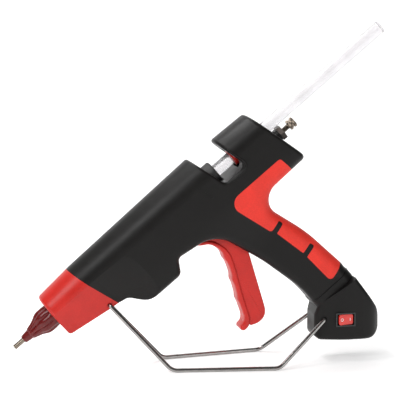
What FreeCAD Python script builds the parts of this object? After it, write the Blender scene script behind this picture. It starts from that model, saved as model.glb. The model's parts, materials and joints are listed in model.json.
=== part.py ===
import FreeCAD, Part
import math
import os

# Hot-melt glue gun on its bent-wire stand, in millimetres.
# The gun is laid out in its own frame and then tilted nose-down onto the stand:
#   u  along the barrel, from the nozzle's tip towards the rear
#   y  across the gun, 0 at the mould seam
#   v  square to the barrel, upwards, 0 on the axis of the glue stick
# World frame: +X towards the rear, +Z up, the stand's rails on z = 0.

V = FreeCAD.Vector
ACROSS = V(0, 1, 0)

# ---- stance -------------------------------------------------------------
TILT = 40.0
TIP_HEIGHT = 24.7

# ---- body shell ---------------------------------------------------------
WALL = 3.0
HALF_WIDTH_NOSE = 19.5
HALF_WIDTH_REAR = 25.5
HALF_WIDTH_GRIP = 17.0
U_SECTION_FRONT = 40.0
U_SECTION_CAP = 85.0
U_SECTION_MIDDLE = 245.0
U_SECTION_REAR = 325.0
TOP_FRONT = 20.2
TOP_CAP = 23.4
TOP_MIDDLE_FRONT = 26.8
TOP_MIDDLE_REAR = 24.9
TOP_REAR = 21.9
SHOULDER_V = 2.0
FULLNESS = 0.58
NOSE_U = 45.5
SEAM_U = 88.4
SEAM_SLOPE = -0.274
CREASE_V = 3.5
KEEL_HALF = 3.2
KEEL_V = -33.0
KEEL_END_U = 136.0
KEEL_NARROW_U = 97.0
EDGE_LOW = 7.0
EDGE_GRIP = 11.0
EDGE_REAR = 3.5
EDGE_NOSE = 3.5
EDGE_NOTCH = 2.5
GRIP_END_V = -172.0
GRIP_FRONT_U = 234.3
GRIP_BACK_U = 277.9
BELLY_V = -48.2
TRIGGER_SLOT_END_V = -122.0
LEDGE = ((219.2, 5.9), (224.3, -11.8))
LEDGE_WIDTH = 0.7
LEDGE_DEPTH = 0.5

# ---- glue line ----------------------------------------------------------
STICK_R = 6.0
STICK_LENGTH = 300.0
STICK_END_U = 448.0
STICK_PLAY = 0.4
STICK_EDGE = 0.6
NOZZLE_TUBE_R = 2.3
NOZZLE_BORE_R = 1.1
NOZZLE_HEX = 13.0
NOZZLE_THREAD_R = 6.0
THREAD_PLAY = 0.04
CHAMBER_R = 11.5
CHAMBER_U = (50.0, 186.0)
SPIGOT_R = 9.4
SLEEVE_R = 11.3
MOUTH_PLAY = 1.2
CUFF_END_U = 243.5
CUFF_R = 11.4
RING_R = 14.3
RING_U = (96.0, 168.0)
RING_WIDTH = 5.0
RIB_LOW = -20.0
GUIDE_RIB_U = (291.5, 294.5)
HEATER_R = 3.0
FUSE_R = 1.8

# ---- trigger and feed ---------------------------------------------------
PIVOT = (206.0, -42.0)
PIVOT_R = 2.5
ARM = 25.0
TRIGGER_TRAVEL = 22.0
ARM_PIN_R = 2.0
PIN_PLAY = 0.05
YOKE_PLAY = 0.3
WEB_HALF = 8.0
PAD_HALF = 10.5
SLOT_PLAY = 0.8
CARRIAGE_U = 271.0
CARRIAGE_LENGTH = 16.0
CARRIAGE_HALF = 12.0
CARRIAGE_NECK_U = 262.5
CARRIAGE_NECK_R = 8.5
PLATE_INNER = 5.6
PLATE_OUTER = 8.0
CLAMP_PIN = (279.0, -10.0)
CLAMP_HALF = 3.4
CLAMP_PIN_R = 1.25

# ---- stroke adjuster ----------------------------------------------------
ADJUSTER_V = -13.4
SCREW_R = 2.5
SCREW_TIP_R = 1.6
HEAD_R = 5.0
HEAD_U = (322.5, 329.5)
NUT_AF = 13.0
NUT_U = (311.0, 315.3)
STOP_U = 293.0
STOP_LENGTH = 4.0
STOP_R = 3.2

# ---- base under the grip ------------------------------------------------
BASE_WALL = 2.8
BASE_EDGE = 4.3
SWITCH_LENGTH = 19.0
SWITCH_HEIGHT = 13.0
SWITCH_AT = (4.6, -21.2)
ROCKER_TILT = 10.0
ROCKER_SIZE = (14.4, 10.0)
ROCKER_PIN_R = 0.9
ROCKER_PIN_DEPTH = 1.8
ROCKER_PIN_REACH = 0.55
CAN_INSET = 0.6
WELL_INSET = 1.3
GLAND_R = 5.0
CORD_HOLE_R = 3.6

HALF_WIDTH_BASE = 23.0
COVER_THICK = 1.6
COVER_LEDGE = 2.5
POST_R = 3.4
COVER_X = (-15.5, 29.5)
COVER_HALF = 13.0
COVER_SCREWS = (-10.5, 24.5)
SWITCH_FACE_Y = 22.3
SWITCH_DEPTH = 11.0
GLAND_AT = (20.0, -24.0)
GLAND_FACE_Y = 23.25
LEAD_R = 0.9
LEAD_HOLE_U = (250.0, 264.0)
LEAD_HOLE_Y = 10.0
COLLAR_V = (-160.2, -152.6)
COLLAR_PROUD = 0.9
PAD_DEPTH = 1.8

# ---- wire stand ---------------------------------------------------------
WIRE_END = (-14.4, -20.8)
WIRE_TIP_Y = 14.0
WIRE_SHOULDER_Y = 19.5
KEEL_WIRE_Y = 7.0
WIRE_R = 2.0
WIRE_HOLE_PLAY = 0.15
KEEL_HOLE = (89.8, -27.6)
RAIL_FRONT = (-32.0, 25.0)
RAIL_REAR = (66.5, 38.0)
WIRE_BEND = 12.0

# ---- screws -------------------------------------------------------------
SCREW_POINTS = [(118, -38), (150, -42), (222, 17.6), (283.5, 17.2), (303, -33), (246, -60), (256, -130)]
BOSS_R = 4.4
PILOT_R = 1.45
SHANK_R = 1.4
SCREW_HEAD_R = 2.9
SCREW_REACH = 11.0

# Worked out from the sizes above.
SIN, COS = math.sin(math.radians(TILT)), math.cos(math.radians(TILT))
STICK_REACH_X = (STICK_END_U - STICK_EDGE) * COS + (STICK_R - STICK_EDGE) * SIN + STICK_EDGE
LENGTH_X = STICK_REACH_X + NOZZLE_TUBE_R * SIN
TIP_X = -LENGTH_X / 2 + NOZZLE_TUBE_R * SIN
HALF_TRAVEL = math.radians(TRIGGER_TRAVEL / 2)
ARM_PIN = (PIVOT[0] + ARM * math.sin(HALF_TRAVEL), PIVOT[1] + ARM * math.cos(HALF_TRAVEL))


# ---- helpers ------------------------------------------------------------
def place(shape):
    """Tilt a shape from the gun's frame into the world frame."""
    turn = FreeCAD.Rotation(ACROSS, -TILT)
    moved = shape.copy()
    moved.Placement = FreeCAD.Placement(V(TIP_X, 0, TIP_HEIGHT), turn).multiply(shape.Placement)
    return moved


def world(u, v):
    """World (x, z) of a point in the gun's frame."""
    return TIP_X + u * COS - v * SIN, TIP_HEIGHT + u * SIN + v * COS


def rounded_wire(corners, y=0.0):
    """Closed wire in the side plane through (u, v, radius) corners: runs joined by tangent arcs."""
    points = [V(u, y, v) for u, v, _ in corners]
    ends = []
    for i, (_, _, radius) in enumerate(corners):
        here = points[i]
        back = (points[i - 1] - here).normalize()
        ahead = (points[(i + 1) % len(points)] - here).normalize()
        if radius == 0:
            ends.append((here, here, None))
            continue
        half = back.getAngle(ahead) / 2
        reach = radius / math.tan(half)
        middle = here + (back + ahead).normalize() * (radius / math.sin(half) - radius)
        ends.append((here + back * reach, here + ahead * reach, middle))
    edges = []
    for i, (start, end, middle) in enumerate(ends):
        if middle is not None:
            edges.append(Part.Arc(start, middle, end).toShape())
        following = ends[(i + 1) % len(ends)][0]
        if (following - end).Length > 1e-4:
            edges.append(Part.LineSegment(end, following).toShape())
    return Part.Wire(edges)


def slab(corners, y0, y1, inset=0.0):
    """Side outline, moved inwards by inset, as a plate from y0 to y1."""
    wire = rounded_wire(corners, y0)
    if inset:
        wire = wire.makeOffset2D(-inset)
    return Part.Face(wire).extrude(V(0, y1 - y0, 0))


def box(u0, u1, y0, y1, v0, v1):
    return Part.makeBox(u1 - u0, y1 - y0, v1 - v0, V(u0, y0, v0))


def rod(u0, u1, radius, y=0.0, v=0.0):
    """Cylinder along the barrel."""
    return Part.makeCylinder(radius, u1 - u0, V(u0, y, v), V(1, 0, 0))


def cross_rod(u, v, radius, y0, y1):
    """Cylinder across the gun."""
    return Part.makeCylinder(radius, y1 - y0, V(u, y0, v), ACROSS)


def turned(profile):
    """Solid turned about the barrel's axis from (u, radius) points."""
    points = [V(u, 0, r) for u, r in profile]
    face = Part.Face(Part.makePolygon(points + points[:1]))
    return face.revolve(V(0, 0, 0), V(1, 0, 0), 360)


def hex_bar(u0, u1, across_flats, v=0.0):
    """Hexagonal bar along the barrel, with flats above and below."""
    radius = across_flats / math.sqrt(3)
    turns = [math.radians(30 + 60 * i) for i in range(7)]
    ring = [V(u0, radius * math.sin(turn), v + radius * math.cos(turn)) for turn in turns]
    return Part.Face(Part.makePolygon(ring)).extrude(V(u1 - u0, 0, 0))


def mirrored(shape):
    return shape.mirror(V(0, 0, 0), ACROSS)


def both_sides(half):
    return half.fuse(mirrored(half)).removeSplitter()


def nearest_edges(shape, points):
    spots = [Part.Vertex(V(*p)) for p in points]
    return [min(shape.Edges, key=lambda edge: edge.distToShape(spot)[0]) for spot in spots]


def rounded_edges(shape, radius, points):
    """Round the edges nearest to the given points, with whatever runs on smoothly from them."""
    return shape.makeFillet(radius, nearest_edges(shape, points)) if radius > 0.2 else shape


def bent_tube(points, radius, bend, wider=()):
    """Round bar along straight runs joined by tangent arcs; wider gives other bends by point number."""
    points = [V(*p) for p in points]
    edges = []
    start = points[0]
    for i, (before, here, after) in enumerate(zip(points, points[1:], points[2:]), 1):
        back = (before - here).normalize()
        ahead = (after - here).normalize()
        half = back.getAngle(ahead) / 2
        turn = wider[i] if i in wider else bend
        reach = turn / math.tan(half)
        middle = here + (back + ahead).normalize() * (turn / math.sin(half) - turn)
        edges.append(Part.LineSegment(start, here + back * reach).toShape())
        edges.append(Part.Arc(here + back * reach, middle, here + ahead * reach).toShape())
        start = here + ahead * reach
    edges.append(Part.LineSegment(start, points[-1]).toShape())
    path = Part.Wire(edges)
    section = Part.Wire(Part.makeCircle(radius, points[0], points[1] - points[0]))
    return path.makePipeShell([section], True, False)


# ---- body shell ---------------------------------------------------------
# Side outline of barrel, belly, grip and rear block, with the loading window cut in the top.
BODY_OUTLINE = [
    (NOSE_U, 40, 0), (226.5, 40, 0), (241, -9.6, 5), (267, -9.2, 6), (253.6, 40, 0), (292.7, 40, 0),
    (314.9, -42.2, 0), (254, -44.2, 17), (271.7, -98.7, 150), (278.2, -145, 25), (277, GRIP_END_V, 0),
    (GRIP_FRONT_U, GRIP_END_V, 0), (233.4, -134.5, 100), (223.2, -91.5, 150), (205.1, -40.4, 30),
    (165.3, -34.5, 5), (157.4, BELLY_V, 7), (120.2, BELLY_V, 20), (107.3, -33.2, 7), (90, -31.4, 20),
    (NOSE_U, -23.3, 0)]

# Soft grip inlay: three fields joined along the back of the grip.
PAD_OUTLINE = [
    (294, -25.2, 3), (297.5, -46.5, 0), (300, -60, 0), (300, -135, 0), (271.5, -144.8, 3), (258.6, -148.4, 4),
    (256, -115.1, 1.2), (268, -111.9, 1.5), (266.8, -107, 1.5), (255.6, -110, 1.2), (248.6, -78.8, 1.2),
    (258.8, -75.9, 1.5), (258, -71.1, 1.5), (245.4, -74.4, 3), (229.8, -25.3, 10)]


def half_width(u):
    share = (u - U_SECTION_FRONT) / (U_SECTION_REAR - U_SECTION_FRONT)
    return HALF_WIDTH_NOSE + (HALF_WIDTH_REAR - HALF_WIDTH_NOSE) * share


def section(u, top, inset):
    """Half of the cross-section at u: crowned top, straight flank, waist down to the grip."""
    wide = half_width(u) - inset
    slim = HALF_WIDTH_GRIP - inset
    crown = top - inset
    rise = crown - SHOULDER_V
    foot = V(u, slim, -180)
    waist = V(u, slim, -80)
    flank = V(u, wide, -25)
    shoulder = V(u, wide, SHOULDER_V)
    ridge = V(u, 0, crown)
    sway = Part.BezierCurve()
    sway.setPoles([waist, V(u, slim, -58), V(u, wide, -46), flank])
    arch = Part.BezierCurve()
    arch.setPoles([shoulder, V(u, wide, SHOULDER_V + FULLNESS * rise), V(u, wide * FULLNESS, crown), ridge])
    return Part.Wire([
        Part.LineSegment(V(u, 0, -180), foot).toShape(), Part.LineSegment(foot, waist).toShape(),
        sway.toShape(), Part.LineSegment(flank, shoulder).toShape(), arch.toShape(),
        Part.LineSegment(ridge, V(u, 0, -180)).toShape()])


def keel_relief(inset):
    """What is taken off each flank below the crease, so that the nose narrows to a keel."""
    wires = []
    for u, keel in ((U_SECTION_FRONT - 5, KEEL_HALF), (KEEL_NARROW_U, KEEL_HALF), (KEEL_END_U, None)):
        wide = half_width(u) + 0.3
        keel = wide if keel is None else keel
        lean = (wide - keel) / (CREASE_V - KEEL_V)
        inward = inset * math.hypot(1, lean)
        above = V(u, wide - inward + lean * 15, CREASE_V + 15)
        below = V(u, keel - inward, KEEL_V)
        wires.append(Part.makePolygon([above, V(u, 60, CREASE_V + 15), V(u, 60, -70), V(u, keel - inward, -70),
                                       below, above]))
    return Part.makeLoft(wires, True, True)


def half_core(inset):
    """The half of the body with y > 0, moved inwards by inset."""
    front = Part.makeLoft([section(U_SECTION_FRONT, TOP_FRONT, inset), section(U_SECTION_CAP, TOP_CAP, inset),
                           section(U_SECTION_MIDDLE, TOP_MIDDLE_FRONT, inset)], True, True)
    rear = Part.makeLoft([section(U_SECTION_MIDDLE, TOP_MIDDLE_REAR, inset),
                          section(U_SECTION_REAR, TOP_REAR, inset)], True, True)
    body = front.fuse(rear).common(slab(BODY_OUTLINE, -5, 60, inset))
    body = body.Solids[0]
    k = inset
    body = rounded_edges(body, EDGE_LOW - inset, [(98, 20.5 - k, -32.2 + k)])
    body = rounded_edges(body, EDGE_GRIP - inset, [(270 - k, 17 - k, -95)])
    body = rounded_edges(body, EDGE_REAR - inset, [(299 - k, 20 - k, 15), (305 - k, 25.1 - k, -10), (313 - k, 23, -35)])
    body = rounded_edges(body, EDGE_NOSE - inset, [(NOSE_U, 12, 15), (NOSE_U, 19.6, -10)])
    if inset == 0:
        body = rounded_edges(body, EDGE_NOTCH, [(238.5, 23.7, -2), (233, 18, 15)])
    return body.cut(keel_relief(inset)).Solids[0]


def seam_side(rear):
    """Half-space ahead of or behind the slanted joint between nose cap and housing."""
    at = lambda v: SEAM_U + SEAM_SLOPE * v
    far = 400 if rear else -50
    face = Part.Face(Part.makePolygon([V(at(60), -60, 60), V(far, -60, 60), V(far, -60, -200),
                                       V(at(-200), -60, -200), V(at(60), -60, 60)]))
    return face.extrude(V(0, 120, 0))


# ---- nose cap and housing halves ----------------------------------------
def trimmed(half, rear):
    return half.common(seam_side(rear))


def make_nose_cap(outer, inner):
    """Red cap over the hot end, with the sleeve's mouth and the hole for the stand's cross-bar."""
    shell = trimmed(outer, False).cut(inner)
    cap = both_sides(shell)
    cap = cap.cut(rod(NOSE_U - 5, NOSE_U + 15, SLEEVE_R + MOUTH_PLAY))
    return cap.cut(cross_rod(KEEL_HOLE[0], KEEL_HOLE[1], WIRE_R + WIRE_HOLE_PLAY, -30, 30))


def rib(inner, u0, u1, hole_r, low):
    """Cradle rib from wall to seam, with a half-round seat on the barrel's axis."""
    return inner.common(box(u0, u1, 0, 60, low, 60)).cut(rod(u0 - 1, u1 + 1, hole_r))


def ledge_line():
    """Short fine groove in the flank below the loading window."""
    top, foot = V(LEDGE[0][0], 0, LEDGE[0][1]), V(LEDGE[1][0], 0, LEDGE[1][1])
    aside = (foot - top).cross(ACROSS).normalize() * (LEDGE_WIDTH / 2)
    depth = half_width(LEDGE[0][0]) - LEDGE_DEPTH
    ring = [top + aside, foot + aside, foot - aside, top - aside, top + aside]
    face = Part.Face(Part.makePolygon([point + ACROSS * depth for point in ring]))
    return face.extrude(ACROSS * 20)


def make_housing_half(outer, inner, pad, head_side):
    """One half of the body, for y > 0: shell, ribs, bosses, and the openings for what passes through."""
    half = trimmed(outer, True).cut(inner)
    ring_hole = RING_R + PIN_PLAY
    parts = [rib(inner, u + 1, u + RING_WIDTH - 1, ring_hole, RIB_LOW) for u in RING_U]
    parts.append(rib(inner, 192, 195, CUFF_R + PIN_PLAY, -8))
    parts.append(rib(inner, GUIDE_RIB_U[0], GUIDE_RIB_U[1], STICK_R + 3.85, -8))
    parts.append(inner.common(box(293, 297, 0, 60, ADJUSTER_V - 6, -8.5)))
    parts.append(inner.common(box(267, 293, 0, 60, CARRIAGE_HALF + 0.4, CARRIAGE_HALF + 3)))
    parts.append(inner.common(box(267, 292, CARRIAGE_HALF + 0.35, 60, -4, 4)))
    parts.append(inner.common(box(232, 292, 0, 60, -27, -23.8)))
    for u, v in SCREW_POINTS:
        parts.append(cross_rod(u, v, BOSS_R, 0, 40).common(outer))
    parts.append(cross_rod(PIVOT[0], PIVOT[1], PIVOT_R + 1.7, PAD_HALF + SLOT_PLAY, 40).common(outer))
    half = half.fuse(parts)
    half = half.cut(rod(225, U_SECTION_MIDDLE, CUFF_R + 0.3))
    half = half.cut(rod(261, 270.8, CARRIAGE_HALF + 0.8))
    half = half.cut(rod(297, 330, STICK_R + 1.2))
    half = half.cut(rod(299, 330, SCREW_R + 3.7 + PIN_PLAY, 0, ADJUSTER_V))
    half = half.cut(rod(290, 299, STOP_R + 0.1, 0, ADJUSTER_V))
    half = half.cut(cross_rod(PIVOT[0], PIVOT[1], PIVOT_R + 0.02, -1, 17.1))
    wide = PAD_HALF + SLOT_PLAY
    narrow = WEB_HALF + SLOT_PLAY
    half = half.cut(box(LEAD_HOLE_U[0], LEAD_HOLE_U[1], -1, LEAD_HOLE_Y, GRIP_END_V - 1, GRIP_END_V + WALL + 1))
    half = half.cut(slab([(184.3, -30, 0), (212, -30, 0), (222, -72, 0), (184.3, -72, 0)], -1, wide))
    half = half.cut(slab([(184, -71.9, 0), (232, -71.9, 0), (238, TRIGGER_SLOT_END_V, 0),
                          (184, TRIGGER_SLOT_END_V, 0)], -1, narrow))
    half = half.cut(ledge_line())
    for u, v in SCREW_POINTS:
        if head_side:
            half = half.cut(cross_rod(u, v, SHANK_R + 0.2, -1, SCREW_REACH + 1))
            half = half.cut(cross_rod(u, v, SCREW_HEAD_R + 0.2, SCREW_REACH, 40))
        else:
            half = half.cut(cross_rod(u, v, SHANK_R, -1, SCREW_REACH + 0.5))
    half = half.cut(pad)
    return max(half.Solids, key=lambda solid: solid.Volume)


def make_grip_pad(outer, under_pad):
    """Soft inlay in the flank and back of the grip, for y > 0."""
    field = slab(PAD_OUTLINE, 0, 60)
    return outer.common(field).cut(under_pad)


def make_screws():
    """Self-tapping screws across the seam, heads on the far side."""
    screws = []
    for u, v in SCREW_POINTS:
        shank = cross_rod(u, v, SHANK_R - 0.02, -SCREW_REACH, SCREW_REACH)
        head = cross_rod(u, v, SCREW_HEAD_R, SCREW_REACH, SCREW_REACH + 2.2)
        slot = box(u - 0.4, u + 0.4, SCREW_REACH + 1.2, SCREW_REACH + 3, v - 2.2, v + 2.2)
        cross = box(u - 2.2, u + 2.2, SCREW_REACH + 1.2, SCREW_REACH + 3, v - 0.4, v + 0.4)
        screws.append(shank.fuse(head).cut(slot).cut(cross))
    return Part.makeCompound(screws)


def make_collar(outer):
    """Band round the foot of the grip, above the base."""
    front, back, side = GRIP_FRONT_U - COLLAR_PROUD, GRIP_BACK_U + COLLAR_PROUD, HALF_WIDTH_GRIP + COLLAR_PROUD
    in_front, behind = EDGE_LOW + COLLAR_PROUD, EDGE_GRIP + COLLAR_PROUD
    band = slab([(front, -side, in_front), (front, side, in_front), (back, side, behind), (back, -side, behind)],
                COLLAR_V[0], COLLAR_V[1])
    band.rotate(V(0, 0, 0), V(1, 0, 0), 90)
    return band.cut(both_sides(outer))


# ---- glue line ----------------------------------------------------------
def make_nozzle():
    """Brass nozzle: thin tube, cone, hexagon and threaded shank, bored through."""
    base = CHAMBER_U[0]
    body = turned([(0, 0), (0, NOZZLE_TUBE_R), (21, NOZZLE_TUBE_R), (32, 5.2), (34.5, 5.2), (34.5, 0)])
    body = body.fuse(hex_bar(34.4, 44, NOZZLE_HEX)).fuse(rod(43.9, base + 7.8, NOZZLE_THREAD_R))
    bore = turned([(-1, 0), (-1, NOZZLE_BORE_R), (24, NOZZLE_BORE_R), (32, 3.2), (base + 9, 3.2), (base + 9, 0)])
    return body.cut(bore)


def make_sleeve():
    """Silicone sleeve that keeps the nozzle warm and guards the hand, ribbed along its cone."""
    profile = [(10.7, 2.5), (10.7, 3.4), (12.2, 3.9), (18.5, 4.9), (19.5, 5.6), (24.5, 6.5), (28.5, 8.2),
               (31.6, 10.5), (34, SLEEVE_R), (49.3, SLEEVE_R), (49.3, 7.8), (33.4, 7.8), (20, 2.5)]
    return turned(profile)


def make_chamber():
    """Aluminium melt chamber: bored barrel, heater block below, flat for the thermostat on top."""
    u0, u1 = CHAMBER_U
    barrel = rod(u0, u1 - 10, CHAMBER_R).fuse(rod(u1 - 10.1, u1, SPIGOT_R))
    block = box(112, 160, -8.5, 8.5, -19, -8)
    flat = box(136, 158, -6.5, 6.5, 8, 13)
    chamber = barrel.fuse([block, flat])
    chamber = chamber.cut(rod(u0 + 8, u1 + 1, STICK_R + STICK_PLAY))
    chamber = chamber.cut(rod(u0 - 1, u0 + 8.5, NOZZLE_THREAD_R + THREAD_PLAY))
    chamber = chamber.cut(rod(111, 161, HEATER_R + 0.04, -4, -14.5))
    return chamber.cut(rod(138, 161, FUSE_R + 0.04, 4.5, -14.5)).removeSplitter()


def make_heater():
    return rod(110, 162, HEATER_R, -4, -14.5)


def make_fuse():
    return rod(140, 164, FUSE_R, 4.5, -14.5)


def make_thermostat():
    """Disc thermostat on the chamber's flat, with its two blade terminals."""
    can = Part.makeCylinder(5.8, 3.2, V(146, 0, 13), V(0, 0, 1))
    foot = box(139.5, 152.5, -3.5, 3.5, 13, 13.6)
    blades = [box(148.5, 156, y - 0.9, y + 0.9, 14.6, 15.1) for y in (-3, 3)]
    return can.fuse([foot] + blades)


def make_heat_shield():
    """Split mica sleeve round the barrel ahead of the heater block, open below."""
    shield = rod(56, 92, CHAMBER_R + 1.2).cut(rod(55, 93, CHAMBER_R + 0.3))
    return shield.cut(box(50, 100, -5, 5, -20, 0))


def make_ring(u):
    """Phenolic ring that holds the hot chamber clear of the housing."""
    return rod(u, u + RING_WIDTH, RING_R).cut(rod(u - 1, u + RING_WIDTH + 1, CHAMBER_R + 0.02))


def make_inlet_cuff():
    """Rubber cuff that seals the stick where it enters the chamber."""
    seat, end = CHAMBER_U[1], CUFF_END_U
    profile = [(seat - 9, SPIGOT_R + 0.02), (seat - 9, CUFF_R), (end - 1, CUFF_R), (end, CUFF_R - 1), (end, 7.4),
               (end - 3, STICK_R + 0.35), (seat + 0.3, STICK_R + 0.35), (seat + 0.3, SPIGOT_R + 0.02)]
    return turned(profile)


def make_stick():
    stick = rod(STICK_END_U - STICK_LENGTH, STICK_END_U, STICK_R)
    return rounded_edges(stick, STICK_EDGE, [(STICK_END_U, STICK_R, 0), (STICK_END_U - STICK_LENGTH, STICK_R, 0)])


def make_stick_guide():
    """Plastic bush in the rear wall; a flat below clears the adjuster."""
    bush = turned([(291, STICK_R + 0.6), (291, STICK_R + 3.8), (297.4, STICK_R + 3.8), (297.4, STICK_R + 1.1),
                   (300, STICK_R + 1.1), (300, STICK_R + 0.6)])
    return bush.cut(box(280, 310, -20, 20, -20, -7.9))


# ---- trigger and feed ---------------------------------------------------
# Side outlines of the trigger: the web that enters the grip, and the finger pad along its front.
WEB_OUTLINE = [
    (188, -42, 4), (202, -47, 10), (201.5, -72, 30), (189.5, -96, 60), (181.5, -118, 40), (174.4, -126.5, 2),
    (173.8, -131.6, 1.5), (184.6, -136.2, 4), (194.2, -132.5, 5), (221.5, -70, 8), (214, -40, 0), (200, -36, 4)]
PAD_SKIN = [
    (185.6, -41.2, 1.2), (195.5, -45.6, 12), (200, -63, 24), (189.8, -93.5, 60), (180.5, -112, 40),
    (176.6, -124.6, 6), (165.8, -126.6, 1.6), (165.6, -132.9, 1.8), (173.5, -132.2, 3), (180.5, -121.5, 10),
    (190.5, -98.5, 60), (205.5, -67, 24), (200.3, -44, 14), (188.5, -37.8, 1.5)]


def make_trigger():
    """Four-finger trigger: web, wider finger pad with a hooked toe, hub and the arm above it."""
    hub_u, hub_v = PIVOT
    web = slab(WEB_OUTLINE, -WEB_HALF, WEB_HALF)
    pad = slab(PAD_SKIN, -PAD_HALF, PAD_HALF)
    hub = cross_rod(hub_u, hub_v, PIVOT_R + 3, -7.4, 7.4)
    lean = math.degrees(math.atan2(ARM_PIN[0] - hub_u, ARM_PIN[1] - hub_v))
    arm = box(-4.2, 4.2, -PLATE_INNER + 0.4, PLATE_INNER - 0.4, -2, ARM).fuse(cross_rod(0, ARM, 4.2, -5.2, 5.2))
    arm.Placement = FreeCAD.Placement(V(hub_u, 0, hub_v), FreeCAD.Rotation(ACROSS, lean))
    body = web.fuse([pad, hub, arm])
    clear = cross_rod(hub_u, hub_v, PIVOT_R + 4.2, 7.4, 20).fuse(cross_rod(hub_u, hub_v, PIVOT_R + 4.2, -20, -7.4))
    body = body.cut(clear).cut(cross_rod(hub_u, hub_v, PIVOT_R + PIN_PLAY, -20, 20))
    body = body.cut(cross_rod(ARM_PIN[0], ARM_PIN[1], ARM_PIN_R + 0.02, -20, 20))
    return max(body.Solids, key=lambda solid: solid.Volume)


def make_trigger_pin():
    return cross_rod(PIVOT[0], PIVOT[1], PIVOT_R, -17, 17)


def make_arm_pin():
    return cross_rod(ARM_PIN[0], ARM_PIN[1], ARM_PIN_R, -PLATE_OUTER, PLATE_OUTER)


def make_trigger_spring():
    """Torsion spring on the trigger's pin, beside the hub."""
    wire, turns, pitch = 0.45, 2.6, 1.05
    coil = Part.makeHelix(pitch, pitch * turns, PIVOT_R + 1.1)
    path = Part.Wire(coil.Edges)
    start = path.Edges[0].Vertexes[0].Point
    section = Part.Wire(Part.makeCircle(wire, start, V(0, 1, pitch / (2 * math.pi * (PIVOT_R + 1.1)))))
    spring = path.makePipeShell([section], True, True)
    spring.Placement = FreeCAD.Placement(V(PIVOT[0], 8.0, PIVOT[1]), FreeCAD.Rotation(V(1, 0, 0), -90))
    return spring


def make_carriage():
    """Red feed carriage: bored block and neck round the stick, and two yoke plates to the trigger's arm."""
    rear = CARRIAGE_U + CARRIAGE_LENGTH
    slot_u, slot_v = ARM_PIN
    block = rod(CARRIAGE_U, rear, CARRIAGE_HALF).fuse(box(281.8, rear, -PLATE_OUTER, PLATE_OUTER, -23.5, 0))
    plates = []
    for side in (-1, 1):
        y0, y1 = sorted((side * PLATE_INNER, side * PLATE_OUTER))
        plate = box(slot_u - 5, rear, y0, y1, -23.5, -13.2).fuse(box(slot_u - 5, slot_u + 8, y0, y1, -14, -11.6))
        plates.append(plate)
    neck = rod(CARRIAGE_NECK_U, CARRIAGE_U + 0.1, CARRIAGE_NECK_R)
    body = block.fuse(plates + [neck])
    gap = ARM_PIN_R + YOKE_PLAY
    body = body.cut(box(slot_u - gap, slot_u + gap, -20, 20, slot_v - ARM_PIN_R - 1, slot_v + ARM_PIN_R + 1.2))
    body = body.cut(rod(CARRIAGE_NECK_U - 1, rear + 1, STICK_R + STICK_PLAY))
    body = body.cut(box(272.5, 281.6, -CLAMP_HALF - 0.4, CLAMP_HALF + 0.4, -14, -5.5))
    body = body.cut(cross_rod(CLAMP_PIN[0], CLAMP_PIN[1], CLAMP_PIN_R + 0.02, -6.5, 6.5))
    return max(body.Solids, key=lambda solid: solid.Volume)


def make_clamp():
    """Toothed clamp that tips up against the underside of the stick."""
    u, v = CLAMP_PIN
    outline = [(u - 4.8, v + 3.65, 0.15), (u + 1.6, v + 2.4, 0.8), (u + 2, v - 1.8, 0.8), (u - 3, v - 1.8, 0.8),
               (u - 5.4, v + 1.5, 0.8)]
    return slab(outline, -CLAMP_HALF, CLAMP_HALF).cut(cross_rod(u, v, CLAMP_PIN_R + PIN_PLAY, -9, 9))


def make_clamp_pin():
    return cross_rod(CLAMP_PIN[0], CLAMP_PIN[1], CLAMP_PIN_R, -6.4, 6.4)


# ---- stroke adjuster ----------------------------------------------------
def make_adjuster_bushing():
    """Threaded bush through the rear wall."""
    body = rod(299.2, NUT_U[0] - 0.1, SCREW_R + 3.7, 0, ADJUSTER_V)
    return body.cut(rod(290, 320, SCREW_R + THREAD_PLAY, 0, ADJUSTER_V))


def make_lock_nut():
    nut = hex_bar(NUT_U[0], NUT_U[1], NUT_AF, ADJUSTER_V)
    return nut.cut(rod(300, 320, SCREW_R + THREAD_PLAY, 0, ADJUSTER_V))


def make_adjuster_screw():
    """Threaded stud with a knurled, slotted head; its thin tip snaps into the stop pad."""
    stud = rod(STOP_U + STOP_LENGTH + 0.1, HEAD_U[0] + 0.1, SCREW_R, 0, ADJUSTER_V)
    tip = rod(STOP_U + 1.6, STOP_U + STOP_LENGTH + 0.2, SCREW_TIP_R, 0, ADJUSTER_V)
    head = rod(HEAD_U[0], HEAD_U[1], HEAD_R, 0, ADJUSTER_V)
    head = rounded_edges(head, 0.6, [(HEAD_U[1], HEAD_R, ADJUSTER_V), (HEAD_U[0], HEAD_R, ADJUSTER_V)])
    head = head.cut(box(HEAD_U[1] - 1.6, HEAD_U[1] + 1, -0.6, 0.6, ADJUSTER_V - 9, ADJUSTER_V + 9))
    return stud.fuse([tip, head])


def make_stop_pad():
    """Nylon pad on the screw's tip that stops the carriage."""
    pad = rod(STOP_U, STOP_U + STOP_LENGTH, STOP_R, 0, ADJUSTER_V)
    return pad.cut(rod(STOP_U + 1.5, STOP_U + STOP_LENGTH + 1, SCREW_TIP_R + PIN_PLAY, 0, ADJUSTER_V))


# ---- base under the grip, laid out level in the world frame --------------
BASE_X, BASE_Z = world(255.5, -165)
BASE_OUTLINE = [
    (15.3, 17.5, 0), (39.6, -14.5, 22), (40.4, -41.3, 12), (-22.8, -41.3, 7), (-22.8, -17.5, 8), (-19.6, -7, 0)]
BASE_PLAN = [(-23.6, -10, 0), (-23.6, 15.5, 10), (4, 23.4, 50), (31, 22.6, 22), (42.4, 9, 14), (42.4, -10, 0)]
FLOOR_Z = BASE_Z + BASE_OUTLINE[2][1]


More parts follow.
